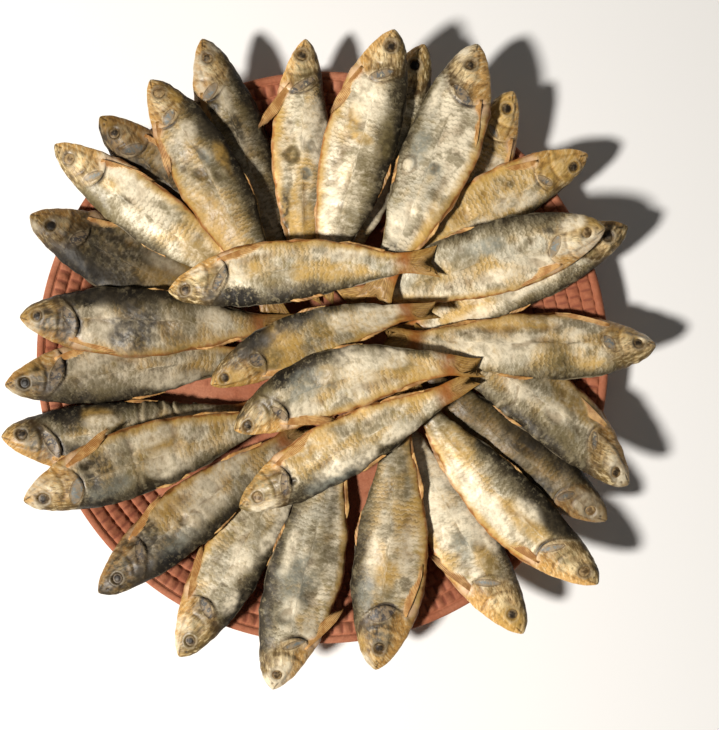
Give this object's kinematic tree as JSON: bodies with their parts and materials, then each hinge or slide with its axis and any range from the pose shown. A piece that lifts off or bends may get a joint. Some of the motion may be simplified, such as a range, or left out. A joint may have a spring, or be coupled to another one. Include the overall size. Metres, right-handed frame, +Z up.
{
  "type": "plate of dried fermented fish",
  "caption": "Shallow round terracotta plate heaped with small whole dried fish, heads out over the rim in a ring and more laid across the middle.",
  "frame": {"origin": "centre of the plate's flat foot, on the surface that it stands on", "axes": "+Z up through the plate's centre, +X to the right and +Y away as the heap is seen from above with the long noses to both sides"},
  "size_m": [0.2792, 0.278, 0.0402],
  "materials": {
    "terracotta": "matt unglazed fired clay",
    "fish_skin": "dry silver and gold skin with dark backs and orange bellies"
  },
  "bodies": {
    "root": {"plate": "terracotta", "rim_fish_01": "fish_skin", "rim_fish_02": "fish_skin", "rim_fish_03": "fish_skin", "rim_fish_04": "fish_skin", "rim_fish_05": "fish_skin", "rim_fish_06": "fish_skin", "rim_fish_07": "fish_skin", "rim_fish_08": "fish_skin", "rim_fish_09": "fish_skin", "rim_fish_10": "fish_skin", "rim_fish_11": "fish_skin", "rim_fish_12": "fish_skin", "rim_fish_13": "fish_skin", "rim_fish_14": "fish_skin", "rim_fish_15": "fish_skin", "rim_fish_16": "fish_skin", "rim_fish_17": "fish_skin", "rim_fish_18": "fish_skin", "rim_fish_19": "fish_skin", "rim_fish_20": "fish_skin", "rim_fish_21": "fish_skin", "rim_fish_22": "fish_skin", "rim_fish_23": "fish_skin", "rim_fish_24": "fish_skin", "rim_fish_25": "fish_skin", "rim_fish_26": "fish_skin", "top_fish_1": "fish_skin", "top_fish_2": "fish_skin", "top_fish_3": "fish_skin", "top_fish_4": "fish_skin"}
  },
  "joints": []
}
